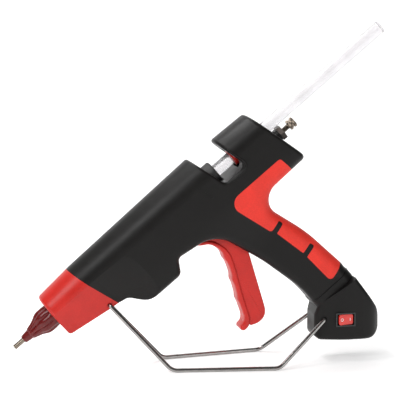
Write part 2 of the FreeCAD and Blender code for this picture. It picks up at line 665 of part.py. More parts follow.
def base_half(inset):
    """Half of the base with y > 0: side outline crossed with the plan, edges rounded."""
    side = slab([(BASE_X + x, BASE_Z + z, r) for x, z, r in BASE_OUTLINE], 0, 60, inset)
    plan = slab([(BASE_X + x, y, r) for x, y, r in BASE_PLAN], -150, 0, inset)
    plan.Placement = FreeCAD.Placement(V(0, 0, 0), FreeCAD.Rotation(V(1, 0, 0), -90))
    half = side.common(plan)
    edge = V(BASE_X + 8, HALF_WIDTH_BASE - inset, FLOOR_Z + inset)
    return rounded_edges(half, BASE_EDGE - inset, [edge])


def switch_frame(x0, x1, depth0, depth1, z0, z1):
    """Box in the switch's own frame: along the base, outwards from its near flank, and up."""
    x, z = BASE_X + SWITCH_AT[0], BASE_Z + SWITCH_AT[1]
    return box(x + x0, x + x1, -SWITCH_FACE_Y - depth1, -SWITCH_FACE_Y - depth0, z + z0, z + z1)


def wire_end():
    """World (x, z) of the holes where the stand's ends spring into the base."""
    return BASE_X + WIRE_END[0], BASE_Z + WIRE_END[1]


def make_base(grip, collar):
    """Hollow base closed round the end of the grip, open below for its cover."""
    half = base_half(0).cut(base_half(BASE_WALL))
    half = half.cut(box(BASE_X + COVER_SCREWS[0] + POST_R, BASE_X + COVER_SCREWS[1] - POST_R, -1,
                        COVER_HALF - COVER_LEDGE, FLOOR_Z - 1, FLOOR_Z + BASE_WALL + 0.5))
    end_x, end_z = wire_end()
    half = half.fuse(cross_rod(end_x, end_z, WIRE_R + 2.2, 12, 30).common(base_half(0)))
    for dx in COVER_SCREWS:
        post = Part.makeCylinder(POST_R, 14, V(BASE_X + dx, 0, FLOOR_Z + COVER_THICK + 0.1), V(0, 0, 1))
        half = half.fuse(post.common(base_half(0)))
    base = both_sides(half)
    base = base.cut(place(both_sides(grip))).cut(collar)
    base = base.cut(box(BASE_X + COVER_X[0], BASE_X + COVER_X[1], -COVER_HALF, COVER_HALF,
                        FLOOR_Z - 5, FLOOR_Z + COVER_THICK))
    for dx in COVER_SCREWS:
        base = base.cut(Part.makeCylinder(SHANK_R, 12, V(BASE_X + dx, 0, FLOOR_Z), V(0, 0, 1)))
    for side in (-1, 1):
        y0, y1 = sorted((side * WIRE_TIP_Y, side * 40))
        base = base.cut(cross_rod(end_x, end_z, WIRE_R + WIRE_HOLE_PLAY, y0, y1))
    half_x, half_z = SWITCH_LENGTH / 2, SWITCH_HEIGHT / 2
    hole_x, hole_z = half_x - CAN_INSET + 0.1, half_z - CAN_INSET + 0.1
    base = base.cut(switch_frame(-hole_x, hole_x, -20, 20, -hole_z, hole_z))
    base = base.cut(switch_frame(-half_x - 0.1, half_x + 0.1, 0, 20, -half_z - 0.1, half_z + 0.1))
    base = base.cut(cross_rod(BASE_X + GLAND_AT[0], BASE_Z + GLAND_AT[1], GLAND_R, 8, 40))
    return max(base.Solids, key=lambda solid: solid.Volume)


def make_base_cover():
    play = 0.1
    cover = box(BASE_X + COVER_X[0] + play, BASE_X + COVER_X[1] - play, -COVER_HALF + play, COVER_HALF - play,
                FLOOR_Z, FLOOR_Z + COVER_THICK)
    for dx in COVER_SCREWS:
        cover = cover.cut(Part.makeCylinder(SHANK_R + 0.2, 12, V(BASE_X + dx, 0, FLOOR_Z - 1), V(0, 0, 1)))
        cover = cover.cut(Part.makeCylinder(SCREW_HEAD_R + 0.2, 1.9, V(BASE_X + dx, 0, FLOOR_Z - 1), V(0, 0, 1)))
    return cover


def make_cover_screws():
    screws = []
    for dx in COVER_SCREWS:
        head = Part.makeCylinder(SCREW_HEAD_R, 0.8, V(BASE_X + dx, 0, FLOOR_Z + 0.1), V(0, 0, 1))
        shank = Part.makeCylinder(SHANK_R - 0.02, 9, V(BASE_X + dx, 0, FLOOR_Z + 0.8), V(0, 0, 1))
        slot = box(BASE_X + dx - 0.4, BASE_X + dx + 0.4, -2.2, 2.2, FLOOR_Z, FLOOR_Z + 0.5)
        screws.append(head.fuse(shank).cut(slot))
    return Part.makeCompound(screws)


def rocker_pin(radius, reach):
    """Upright cylinder on the rocker's axis, reaching equally far above and below its middle."""
    foot = V(BASE_X + SWITCH_AT[0], ROCKER_PIN_DEPTH - SWITCH_FACE_Y, BASE_Z + SWITCH_AT[1] - reach)
    return Part.makeCylinder(radius, 2 * reach, foot, V(0, 0, 1))


def make_switch_body():
    """Bezel and box of the rocker switch, hollow for the rocker, with three blades behind."""
    half_x, half_z = SWITCH_LENGTH / 2, SWITCH_HEIGHT / 2
    bezel = switch_frame(-half_x, half_x, 0, 1.4, -half_z, half_z)
    can = switch_frame(-half_x + CAN_INSET, half_x - CAN_INSET, -SWITCH_DEPTH, 0.1, -half_z + CAN_INSET, half_z - CAN_INSET)
    well_x, well_z = half_x - WELL_INSET, half_z - WELL_INSET
    well = switch_frame(-well_x, well_x, -7.5, 5, -well_z, well_z)
    reach = ROCKER_SIZE[1] / 2 + ROCKER_PIN_REACH + 0.1
    sockets = rocker_pin(ROCKER_PIN_R + PIN_PLAY, reach)
    blades = [switch_frame(x - 0.4, x + 0.4, -SWITCH_DEPTH - 5, -SWITCH_DEPTH + 0.1, -2.2, 2.2) for x in (-5, 1, 7)]
    return bezel.fuse(can).cut(well).cut(sockets).fuse(blades)


def make_rocker():
    """Red rocker on its own two stub pins; at rest its front end stands out and its rear end is pressed in."""
    x, z = BASE_X + SWITCH_AT[0], BASE_Z + SWITCH_AT[1]
    half_x, half_z = ROCKER_SIZE[0] / 2, ROCKER_SIZE[1] / 2
    front = -1.2 - ROCKER_PIN_DEPTH
    outline = [V(-half_x, front, 0), V(0, front + 0.6, 0), V(half_x, front, 0), V(half_x - 1.4, 1.6, 0),
               V(1.4 - half_x, 1.6, 0)]
    face = Part.Face(Part.makePolygon(outline + outline[:1]))
    rocker = face.extrude(V(0, 0, 2 * half_z))
    rocker.Placement = FreeCAD.Placement(V(x, ROCKER_PIN_DEPTH - SWITCH_FACE_Y, z - half_z),
                                         FreeCAD.Rotation(V(0, 0, 1), ROCKER_TILT))
    return rocker.fuse(rocker_pin(ROCKER_PIN_R, half_z + ROCKER_PIN_REACH))


def make_gland():
    """Rubber bush where the cord would enter, on the far flank."""
    x, z = BASE_X + GLAND_AT[0], BASE_Z + GLAND_AT[1]
    body = cross_rod(x, z, GLAND_R - 0.02, 12, GLAND_FACE_Y)
    flange = cross_rod(x, z, GLAND_R + 1.6, GLAND_FACE_Y, GLAND_FACE_Y + 1.6)
    return body.fuse(flange).cut(cross_rod(x, z, CORD_HOLE_R, 0, 40))


def make_terminal_board():
    """Small board with the terminal block, on the cover."""
    z = FLOOR_Z + COVER_THICK
    x = BASE_X + 8
    feet = [box(x + dx, x + dx + 3, -3, 3, z, z + 3) for dx in (-9, 4)]
    board = box(x - 9.5, x + 9.5, -9, 11, z + 2.9, z + 4.5)
    block = box(x - 6.5, x + 7.5, 1, 9, z + 4.4, z + 10)
    return board.fuse(feet + [block])


def make_leads():
    """Two wires from the terminal block up the back of the grip to the heater and the fuse."""
    block_x, block_z = BASE_X + 5, FLOOR_Z + COVER_THICK + 10
    leads = []
    for dx, y, end_y, end_v, end_u in ((0, 4.5, -4, -14.5, 162.3), (5, 7.5, 4.5, -14.5, 164.3)):
        start = (block_x + dx, y, block_z)
        run = [start, (block_x + dx, y, block_z + 7)]
        run += [tuple(place(Part.Vertex(V(u, yy, v))).Point) for u, yy, v in (
            (265.5 + dx * 0.4, y, -150), (264.5 + dx * 0.4, y, -112), (252 + dx * 0.2, 8 + dx * 0.4, -66),
            (251 + dx * 0.3, 11 + dx * 0.3, -33), (238, 11 + dx * 0.3, -31 + dx * 0.6), (176, 11 + dx * 0.3, -31 + dx * 0.6),
            (166.4, end_y + 3, -22), (166.4, end_y, end_v - 2), (end_u, end_y, end_v))]
        leads.append(bent_tube(run, LEAD_R, 1.2))
    return Part.makeCompound(leads)


# ---- wire stand ---------------------------------------------------------
def make_stand():
    """One wire: cross-bar through the keel, two front legs, two rails and two rear legs."""
    keel_x, keel_z = world(*KEEL_HOLE)
    end_x, end_z = wire_end()
    near = [(end_x, WIRE_TIP_Y + 0.3, end_z), (end_x, WIRE_SHOULDER_Y, end_z),
            (RAIL_REAR[0], RAIL_REAR[1], WIRE_R), (RAIL_FRONT[0], RAIL_FRONT[1], WIRE_R),
            (keel_x, KEEL_WIRE_Y, keel_z)]
    far = [(x, -y, z) for x, y, z in reversed(near)]
    return bent_tube(near + far, WIRE_R, 2.6, {2: WIRE_BEND, 3: WIRE_BEND, 6: WIRE_BEND, 7: WIRE_BEND})


# ---- build --------------------------------------------------------------
def build():
    outer, inner, under_pad = half_core(0), half_core(WALL), half_core(PAD_DEPTH)
    pad = make_grip_pad(outer, under_pad)
    right = mirrored(make_housing_half(outer, inner, pad, False))
    left = make_housing_half(outer, inner, pad, True)
    tilted = {
        "nose_cap": make_nose_cap(outer, inner),
        "right_housing": right,
        "left_housing": left,
        "right_grip_pad": mirrored(pad),
        "left_grip_pad": pad,
        "housing_screws": make_screws(),
        "nozzle": make_nozzle(),
        "nozzle_sleeve": make_sleeve(),
        "melt_chamber": make_chamber(),
        "cartridge_heater": make_heater(),
        "thermal_fuse": make_fuse(),
        "thermostat": make_thermostat(),
        "heat_shield": make_heat_shield(),
        "front_chamber_ring": make_ring(RING_U[0]),
        "rear_chamber_ring": make_ring(RING_U[1]),
        "inlet_cuff": make_inlet_cuff(),
        "glue_stick": make_stick(),
        "stick_guide": make_stick_guide(),
        "trigger": make_trigger(),
        "trigger_pin": make_trigger_pin(),
        "trigger_arm_pin": make_arm_pin(),
        "trigger_spring": make_trigger_spring(),
        "feed_carriage": make_carriage(),
        "clamp_lever": make_clamp(),
        "clamp_pin": make_clamp_pin(),
        "adjuster_bushing": make_adjuster_bushing(),
        "adjuster_lock_nut": make_lock_nut(),
        "adjuster_screw": make_adjuster_screw(),
        "stop_pad": make_stop_pad(),
        "grip_collar": make_collar(outer),
    }
    nodes = {name: place(shape) for name, shape in tilted.items()}
    nodes["base"] = make_base(outer, nodes["grip_collar"])
    nodes["base_cover"] = make_base_cover()
    nodes["cover_screws"] = make_cover_screws()
    nodes["switch_body"] = make_switch_body()
    nodes["switch_rocker"] = make_rocker()
    nodes["cord_gland"] = make_gland()
    nodes["terminal_board"] = make_terminal_board()
    nodes["heater_leads"] = make_leads()
    nodes["wire_stand"] = make_stand()
    return nodes


os.makedirs("parts", exist_ok=True)
for node, solid in build().items():
    solid.exportStep("parts/%s.step" % node)
    print("%-20s %2d solid(s) %9.1f mm3  valid %s" % (node, len(solid.Solids), solid.Volume, solid.isValid()))
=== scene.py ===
"""Looks of a hot-melt glue gun that rests nose-down on its bent-wire stand.

New pieces are surfaces of two parameters, worked out as whole arrays. Most are in the gun's own frame:
u along the barrel from the nozzle's tip, y across, v square to the barrel and up, in millimetres.
"""

import json
import math

import bmesh
import bpy
import numpy as np
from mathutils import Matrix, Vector


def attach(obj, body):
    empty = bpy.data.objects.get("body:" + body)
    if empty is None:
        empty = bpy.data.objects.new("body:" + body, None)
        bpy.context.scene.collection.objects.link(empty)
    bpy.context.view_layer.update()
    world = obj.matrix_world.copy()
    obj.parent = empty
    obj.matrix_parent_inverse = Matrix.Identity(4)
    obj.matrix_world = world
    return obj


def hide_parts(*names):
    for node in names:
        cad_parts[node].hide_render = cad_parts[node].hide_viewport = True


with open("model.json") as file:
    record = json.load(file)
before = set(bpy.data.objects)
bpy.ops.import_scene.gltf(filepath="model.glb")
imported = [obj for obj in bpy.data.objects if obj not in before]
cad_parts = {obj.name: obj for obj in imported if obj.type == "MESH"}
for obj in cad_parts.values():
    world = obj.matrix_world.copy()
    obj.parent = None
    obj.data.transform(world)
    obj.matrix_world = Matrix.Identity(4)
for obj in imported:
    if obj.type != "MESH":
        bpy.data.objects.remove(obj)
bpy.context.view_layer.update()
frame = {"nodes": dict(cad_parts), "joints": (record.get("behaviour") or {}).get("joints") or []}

# ---- the gun's own frame, taken from its joints --------------------------
MM = 0.001
JOINTS = {joint["name"]: joint for joint in frame["joints"]}
ALONG = -np.array(JOINTS["stick_feed"]["axis"], float)
ACROSS = np.array([0.0, 1.0, 0.0])
UP = np.cross(ALONG, ACROSS)
PIVOT_U, PIVOT_V = 206.0, -42.0     # the trigger's pivot
TIP = np.array(JOINTS["trigger_pull"]["pos_m"]) - MM * (PIVOT_U * ALONG + PIVOT_V * UP)


def gun(u, y, v):
    """World points in metres of gun-frame arrays in millimetres."""
    u, y, v = np.broadcast_arrays(*(np.asarray(a, float) for a in (u, y, v)))
    return TIP + MM * (u[..., None] * ALONG + y[..., None] * ACROSS + v[..., None] * UP)


# ---- mesh making ---------------------------------------------------------
WELD = 1e-6     # metres within which vertices are merged


def quads(index):
    """Faces between the neighbouring rows and columns of a grid of vertex numbers."""
    corners = [index[:-1, :-1], index[1:, :-1], index[1:, 1:], index[:-1, 1:]]
    return np.stack(corners, -1).reshape(-1, 4).tolist()


def surface(name, grid, material, body, replaces=(), loop=False, *, sharp):
    """Piece from a grid of points: rows along the shape, columns round it.

    Columns close on themselves. Rows close too if loop is set, and otherwise the first and last row
    are filled, so that the surface is closed.
    """
    rows, columns = grid.shape[:2]
    index = np.arange(rows * columns).reshape(rows, columns)
    index = np.hstack([index, index[:, :1]])
    if loop:
        index = np.vstack([index, index[:1]])
    faces = quads(index)
    if not loop:
        faces += [index[0, :-1][::-1].tolist(), index[-1, :-1].tolist()]
    mesh = bpy.data.meshes.new(name)
    mesh.from_pydata(grid.reshape(-1, 3), [], faces)
    return finished(name, mesh, material, body, replaces, sharp)


def finished(name, mesh, material, body, replaces, sharp):
    """Outward normals, smooth shading up to the sharp angle, material, body and node that it stands for."""
    shell = bmesh.new()
    shell.from_mesh(mesh)
    bmesh.ops.remove_doubles(shell, verts=shell.verts, dist=WELD)
    bmesh.ops.recalc_face_normals(shell, faces=shell.faces)
    shell.to_mesh(mesh)
    shell.free()
    mesh.polygons.foreach_set("use_smooth", np.ones(len(mesh.polygons), bool))
    mesh.set_sharp_from_angle(angle=math.radians(sharp))
    mesh.materials.append(material)
    piece = bpy.data.objects.new(name, mesh)
    bpy.context.scene.collection.objects.link(piece)
    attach(piece, body)
    if replaces:
        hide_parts(*replaces)
    return piece


def spline(points, count):
    """Natural cubic spline through the points, spaced by chord length, at count even steps."""
    points = np.asarray(points, float)
    knots = np.r_[0, np.cumsum(np.linalg.norm(np.diff(points, axis=0), axis=1))]
    gaps = np.diff(knots)
    size = len(points)
    system = np.eye(size)
    right = np.zeros_like(points)
    inner = np.arange(1, size - 1)
    system[inner, inner - 1] = gaps[:-1]
    system[inner, inner] = 2 * (gaps[:-1] + gaps[1:])
    system[inner, inner + 1] = gaps[1:]
    slopes = np.diff(points, axis=0) / gaps[:, None]
    right[1:-1] = 6 * np.diff(slopes, axis=0)
    curve = np.linalg.solve(system, right)
    at = np.linspace(0, knots[-1], count)
    span = np.clip(np.searchsorted(knots, at, "right") - 1, 0, size - 2)
    gap = gaps[span][:, None]
    ahead = (at - knots[span])[:, None]
    behind = gap - ahead
    return ((curve[span] * behind ** 3 + curve[span + 1] * ahead ** 3) / (6 * gap)
            + (points[span] / gap - curve[span] * gap / 6) * behind
            + (points[span + 1] / gap - curve[span + 1] * gap / 6) * ahead)


def spun(profile, turns, wave):
    """Gun-frame arrays of a (u, radius) profile turned about the stick's axis, with a wave on its radius."""
    profile = np.asarray(profile, float)
    angle = np.linspace(0, 2 * math.pi, turns, endpoint=False)[None, :]
    u = profile[:, :1]
    radius = profile[:, 1:] + wave(u, angle)
    return u, radius * np.sin(angle), radius * np.cos(angle)


def filleted(corners, steps):
    """Polyline through (a, b, radius) corners with each corner cut back and rounded by a parabola."""
    corners = np.asarray(corners, float)
    out = [corners[0, :2]]
    for before, here, after in zip(corners, corners[1:], corners[2:]):
        if here[2] == 0:
            out.append(here[:2])
            continue
        back = before[:2] - here[:2]
        ahead = after[:2] - here[:2]
        start = here[:2] + back / np.linalg.norm(back) * min(here[2], np.linalg.norm(back) / 2)
        end = here[:2] + ahead / np.linalg.norm(ahead) * min(here[2], np.linalg.norm(ahead) / 2)
        t = np.linspace(0, 1, steps)[:, None]
        out.extend((1 - t) ** 2 * start + 2 * t * (1 - t) * here[:2] + t ** 2 * end)
    out.append(corners[-1, :2])
    return np.array(out)


def resampled(points, count, corners=False):
    """Polyline at count even steps of its length, and at its own corners too if they are wanted."""
    run = np.r_[0, np.cumsum(np.linalg.norm(np.diff(points, axis=0), axis=1))]
    at = np.linspace(0, run[-1], count)
    if corners:
        at = np.unique(np.r_[at, run])
    return np.stack([np.interp(at, run, points[:, k]) for k in (0, 1)], 1)


def rounded(way):
    """Quarter circle from 0 to 1, for ends that round off as way goes from 0 to 1."""
    return np.sqrt(1 - (1 - np.clip(way, 0, 1)) ** 2)


def squared(wave, power):
    """Cosine or sine pushed towards a square wave, for squared-off ovals."""
    return np.sign(wave) * np.abs(wave) ** power


def pillow(outline, half, edge, steps=6):
    """Grid of a flat plate with rounded rims, from a closed (u, v) outline.

    Rows run from the near face round the rim to the far face: each is the outline moved inwards along
    its own normals by edge * (1 - cos a), at y = (half - edge) + edge * sin a on either side.
    """
    outline = np.asarray(outline, float)
    tangent = np.roll(outline, -1, axis=0) - np.roll(outline, 1, axis=0)
    tangent /= np.linalg.norm(tangent, axis=1)[:, None]
    normal = np.stack([tangent[:, 1], -tangent[:, 0]], 1)
    area = np.sum(outline[:, 0] * np.roll(outline[:, 1], -1) - np.roll(outline[:, 0], -1) * outline[:, 1])
    normal *= math.copysign(1, area)
    turn = np.linspace(math.pi / 2, 0, steps)
    inward = np.r_[edge * (1 - np.cos(turn)), edge * (1 - np.cos(turn[::-1]))]
    y = np.r_[-(half - edge) - edge * np.sin(turn), (half - edge) + edge * np.sin(turn[::-1])]
    rows = outline[None] - inward[:, None, None] * normal[None]
    return gun(rows[..., 0], y[:, None], rows[..., 1])


# ---- materials -----------------------------------------------------------
def group(name, inputs, outputs, build):
    """Shader node group with named sockets, filled by build(tree, input node, output node)."""
    tree = bpy.data.node_groups.new(name, "ShaderNodeTree")
    for label, kind, default in inputs:
        socket = tree.interface.new_socket(label, in_out="INPUT", socket_type=kind)
        socket.default_value = default
    for label, kind in outputs:
        tree.interface.new_socket(label, in_out="OUTPUT", socket_type=kind)
    build(tree, tree.nodes.new("NodeGroupInput"), tree.nodes.new("NodeGroupOutput"))
    return tree


def node(tree, kind, links=None, **settings):
    """New node with its settings, and links or values for its input sockets."""
    made = tree.nodes.new(kind)
    for key, value in settings.items():
        setattr(made, key, value)
    for key, value in (links or {}).items():
        if isinstance(value, bpy.types.NodeSocket):
            tree.links.new(value, made.inputs[key])
        else:
            made.inputs[key].default_value = value
    return made


def noise(tree, place, scale, detail, rough):
    """Noise between 0 and 1."""
    return node(tree, "ShaderNodeTexNoise",
                {"Vector": place, "Scale": scale, "Detail": detail, "Roughness": rough}).outputs["Fac"]


def maths(tree, operation, a, b, clamp=False):
    """Sum, product or other operation on two values."""
    return node(tree, "ShaderNodeMath", {0: a, 1: b}, operation=operation, use_clamp=clamp).outputs[0]


def ranged(tree, value, low, high, to_low, to_high):
    """Value carried from one range to another, and held at its ends."""
    return node(tree, "ShaderNodeMapRange", {"Value": value, "From Min": low, "From Max": high,
                                             "To Min": to_low, "To Max": to_high}).outputs["Result"]


def scaled(tree, colour, factor):
    """Colour made lighter or darker by a factor."""
    made = node(tree, "ShaderNodeVectorMath", {0: colour}, operation="SCALE")
    tree.links.new(factor, made.inputs["Scale"])
    return made.outputs[0]


DRIFT_SCALE, SPECK_SCALE, STAIN_SCALE = 55.0, 900.0, 160.0


def moulded(tree, given, out):
    """Spark-eroded moulding texture: fine grain in height, broad drift in colour and roughness."""
    place = node(tree, "ShaderNodeTexCoord").outputs["Object"]
    grain = noise(tree, place, given.outputs["Grain Scale"], 2.0, 0.6)
    drift = noise(tree, place, DRIFT_SCALE, 4.0, 0.55)
    speck = noise(tree, place, SPECK_SCALE, 1.0, 0.5)
    shade = ranged(tree, drift, 0.35, 0.65, 0.94, 1.06)
    shade = maths(tree, "MULTIPLY", shade, ranged(tree, speck, 0.35, 0.7, 0.96, 1.05))
    tree.links.new(scaled(tree, given.outputs["Colour"], shade), out.inputs["Colour"])
    rough = maths(tree, "ADD", given.outputs["Roughness"], ranged(tree, drift, 0.3, 0.7, -0.04, 0.05), True)
    tree.links.new(rough, out.inputs["Roughness"])
    tree.links.new(grain, out.inputs["Height"])


def turned_metal(tree, given, out):
    """Fine tool marks in height and roughness, and a light mottled tarnish in colour."""
    place = node(tree, "ShaderNodeTexCoord").outputs["Object"]
    marks = noise(tree, place, given.outputs["Mark Scale"], 3.0, 0.6)
    stain = noise(tree, place, STAIN_SCALE, 3.0, 0.6)
    shade = ranged(tree, stain, 0.35, 0.7, 1.05, 0.82)
    tree.links.new(scaled(tree, given.outputs["Colour"], shade), out.inputs["Colour"])
    rough = maths(tree, "ADD", given.outputs["Roughness"], ranged(tree, marks, 0.3, 0.7, -0.05, 0.08), True)
    tree.links.new(rough, out.inputs["Roughness"])
    tree.links.new(marks, out.inputs["Height"])


COLOUR, NUMBER = "NodeSocketColor", "NodeSocketFloat"
MID_GREY = (0.5, 0.5, 0.5, 1)
LOOK_OUTPUTS = [("Colour", COLOUR), ("Roughness", NUMBER), ("Height", NUMBER)]
MOULDED = group("Moulded grain", [("Colour", COLOUR, MID_GREY), ("Roughness", NUMBER, 0.4),
                                  ("Grain Scale", NUMBER, 2500.0)], LOOK_OUTPUTS, moulded)
TURNED = group("Turned metal", [("Colour", COLOUR, MID_GREY), ("Roughness", NUMBER, 0.2),
                                ("Mark Scale", NUMBER, 1800.0)], LOOK_OUTPUTS, turned_metal)
BUMP_MM = 0.05      # depth of the grain at full strength


def finish_of(name, look, colour, roughness, scale, bump, **constants):
    """Material on the Principled shader, with its colour, roughness and height from a node group."""
    material = bpy.data.materials.new(name)
    material.use_nodes = True
    tree = material.node_tree
    shader = tree.nodes["Principled BSDF"]
    scale_socket = "Grain Scale" if look is MOULDED else "Mark Scale"
    effect = node(tree, "ShaderNodeGroup", node_tree=look)
    effect.inputs["Colour"].default_value = (*colour, 1)
    effect.inputs["Roughness"].default_value = roughness
    effect.inputs[scale_socket].default_value = scale
    tree.links.new(effect.outputs["Colour"], shader.inputs["Base Color"])
    tree.links.new(effect.outputs["Roughness"], shader.inputs["Roughness"])
    relief = node(tree, "ShaderNodeBump", {"Height": effect.outputs["Height"], "Strength": bump,
                                           "Distance": BUMP_MM * MM})
    tree.links.new(relief.outputs["Normal"], shader.inputs["Normal"])
    for key, value in constants.items():
        shader.inputs[key.replace("_", " ")].default_value = value
    return material


BODY = finish_of("body_nylon", MOULDED, (0.0085, 0.0078, 0.0074), 0.38, 2200.0, 0.30, Specular_IOR_Level=0.20)
CAP = finish_of("cap_nylon", MOULDED, (0.55, 0.018, 0.012), 0.34, 2600.0, 0.15, Specular_IOR_Level=0.35)
GRIP = finish_of("grip_elastomer", MOULDED, (0.80, 0.036, 0.022), 0.55, 3000.0, 0.45, Specular_IOR_Level=0.35)
TRIGGER = finish_of("trigger_nylon", MOULDED, (0.60, 0.020, 0.014), 0.36, 2600.0, 0.15,
                    Specular_IOR_Level=0.35)
SILICONE = finish_of("sleeve_silicone", MOULDED, (0.13, 0.006, 0.006), 0.24, 1500.0, 0.12,
                     Specular_IOR_Level=0.4, Subsurface_Weight=0.15, Subsurface_Scale=0.002)
RUBBER = finish_of("cuff_rubber", MOULDED, (0.018, 0.017, 0.017), 0.50, 2600.0, 0.4)
GLOSS_BLACK = finish_of("switch_plastic", MOULDED, (0.012, 0.012, 0.012), 0.18, 2600.0, 0.05)
CHROME = finish_of("chrome_wire", TURNED, (0.36, 0.35, 0.34), 0.12, 900.0, 0.05, Metallic=1.0)
NICKEL = finish_of("nickel_plate", TURNED, (0.24, 0.20, 0.16), 0.22, 2400.0, 0.10, Metallic=1.0)
ZINC = finish_of("zinc_screws", TURNED, (0.50, 0.50, 0.52), 0.34, 2400.0, 0.15, Metallic=1.0)
DARK_STEEL = finish_of("blackened_steel", TURNED, (0.06, 0.05, 0.045), 0.36, 2400.0, 0.20, Metallic=0.9)
ALUMINIUM = finish_of("machined_aluminium", TURNED, (0.70, 0.70, 0.71), 0.32, 2000.0, 0.20, Metallic=1.0)
STEEL_TUBE = finish_of("heater_tube", TURNED, (0.45, 0.44, 0.42), 0.30, 2400.0, 0.15, Metallic=1.0)
MICA = finish_of("mica_sheet", MOULDED, (0.50, 0.42, 0.28), 0.45, 700.0, 0.2)
PHENOLIC = finish_of("phenolic_resin", MOULDED, (0.16, 0.07, 0.03), 0.45, 1500.0, 0.3)
NYLON = finish_of("natural_nylon", MOULDED, (0.80, 0.78, 0.72), 0.35, 2400.0, 0.1)
BOARD = finish_of("circuit_board", MOULDED, (0.03, 0.16, 0.07), 0.35, 1200.0, 0.1)
SLEEVING = finish_of("woven_sleeving", MOULDED, (0.62, 0.58, 0.50), 0.75, 1800.0, 0.8)
LENS_RED = finish_of("rocker_lens", MOULDED, (0.78, 0.03, 0.02), 0.16, 2400.0, 0.04, Coat_Weight=0.4)
GLUE = finish_of("hot_melt_glue", MOULDED, (0.93, 0.91, 0.93), 0.22, 500.0, 0.10,
                 Transmission_Weight=0.8, IOR=1.42)
PRINT = finish_of("white_print", MOULDED, (0.85, 0.84, 0.82), 0.45, 2600.0, 0.1)

CAD_FINISH = {
    "nose_cap": CAP, "right_housing": BODY, "left_housing": BODY, "right_grip_pad": GRIP,
    "left_grip_pad": GRIP, "housing_screws": ZINC, "nozzle": NICKEL, "melt_chamber": ALUMINIUM,
    "cartridge_heater": STEEL_TUBE, "thermal_fuse": STEEL_TUBE, "thermostat": STEEL_TUBE,
    "heat_shield": MICA, "front_chamber_ring": PHENOLIC, "rear_chamber_ring": PHENOLIC,
    "inlet_cuff": RUBBER, "stick_guide": BODY, "trigger_pin": ZINC, "trigger_arm_pin": ZINC,
    "trigger_spring": ZINC, "feed_carriage": TRIGGER, "clamp_lever": ZINC, "clamp_pin": ZINC,
    "adjuster_bushing": BODY, "adjuster_lock_nut": DARK_STEEL, "stop_pad": NYLON, "grip_collar": BODY,
    "base": BODY, "base_cover": BODY, "cover_screws": ZINC, "switch_body": GLOSS_BLACK,
    "cord_gland": RUBBER, "terminal_board": BOARD, "heater_leads": SLEEVING, "glue_stick": GLUE,
    "wire_stand": CHROME, "nozzle_sleeve": SILICONE, "trigger": TRIGGER, "adjuster_screw": NICKEL,
    "switch_rocker": LENS_RED}
for name, material in CAD_FINISH.items():
    mesh = frame["nodes"][name].data
    mesh.materials.clear()
    mesh.materials.append(material)


# ---- nozzle sleeve -------------------------------------------------------
SLEEVE_RIBS = 9
RIB_START_U, RIB_END_U = 18.5, 47.0
RIB_SWELL, RIB_FADE = 5.0, 6.0          # lengths over which the ribs rise and die out
RIB_HEIGHT, RIB_SINK, RIB_FULLNESS = 1.35, 0.85, 0.8
SLEEVE_OUTSIDE = [(10.7, 2.35, 0), (10.7, 3.5, 0.4), (12.2, 3.9, 0.8), (18.5, 4.7, 0.5), (19.5, 5.5, 0.5),
                  (24.5, 6.4, 2), (28.5, 8.1, 2), (31.6, 10.1, 2), (35, 11.2, 2), (49.3, 11.2, 0.5),
                  (49.3, 7.9, 0)]
SLEEVE_BORE = [(33.4, 7.9), (20, 2.6)]


def sleeve_rib(u, angle):
    """Ribs along the cone: a rounded wave round the axis, its crests above the cone and its grooves below."""
    swell = np.clip((u - RIB_START_U) / RIB_SWELL, 0, 1) * np.clip((RIB_END_U - u) / RIB_FADE, 0, 1)
    crest = np.abs(np.cos(SLEEVE_RIBS * angle / 2)) ** RIB_FULLNESS
    return swell * (RIB_HEIGHT * crest - RIB_SINK)


def sleeve():
    """Sleeve: its outside from tip to foot, and its bore back to the tip."""
    outside = resampled(filleted(SLEEVE_OUTSIDE, 4), 120)
    return gun(*spun(np.vstack([outside, SLEEVE_BORE]), 180, sleeve_rib))


surface("nozzle_sleeve_ribbed", sleeve(), SILICONE, "gun", ["nozzle_sleeve"], loop=True,
        sharp=50)


# ---- wire stand ----------------------------------------------------------
def bent(points, bends, steps=14):
    """Centre line along straight runs, with a circular arc of the given radius at each inner point."""
    points = [np.array(p, float) for p in points]
    line = [points[0]]
    for before, here, after, radius in zip(points, points[1:], points[2:], bends):
        back = (before - here) / np.linalg.norm(before - here)
        ahead = (after - here) / np.linalg.norm(after - here)
        half = math.acos(float(np.clip(back @ ahead, -1, 1))) / 2
        middle = (back + ahead) / np.linalg.norm(back + ahead)
        centre = here + middle * radius / math.sin(half)
        start = here + back * radius / math.tan(half)
        end = here + ahead * radius / math.tan(half)
        turn = math.pi - 2 * half
        t = np.linspace(0, turn, steps)[:, None]
        first = start - centre
        across = (end - centre) - first * math.cos(turn)
        across /= np.linalg.norm(across)
        line.extend(centre + first * np.cos(t) + across * radius * np.sin(t))
    line.append(points[-1])
    return np.array(line)


FIRST_SIDE = [0.3, 0.2, 0.9]        # any direction that no bar starts along


def tube(line, radius, turns=24):
    """Round bar along a centre line, its frame carried along without twist.

    The radius is one number, or one for each point of the line.
    """
    ahead = np.gradient(line, axis=0)
    ahead /= np.linalg.norm(ahead, axis=1)[:, None]
    side = np.cross(ahead[0], FIRST_SIDE)
    sides = []
    for direction in ahead:
        side = side - direction * (side @ direction)
        side /= np.linalg.norm(side)
        sides.append(side)
    sides = np.array(sides)
    third = np.cross(ahead, sides)
    angle = np.linspace(0, 2 * math.pi, turns, endpoint=False)[None, :, None]
    reach = np.broadcast_to(radius, (len(line),))[:, None, None]
    return line[:, None] + reach * (np.cos(angle) * sides[:, None] + np.sin(angle) * third[:, None])


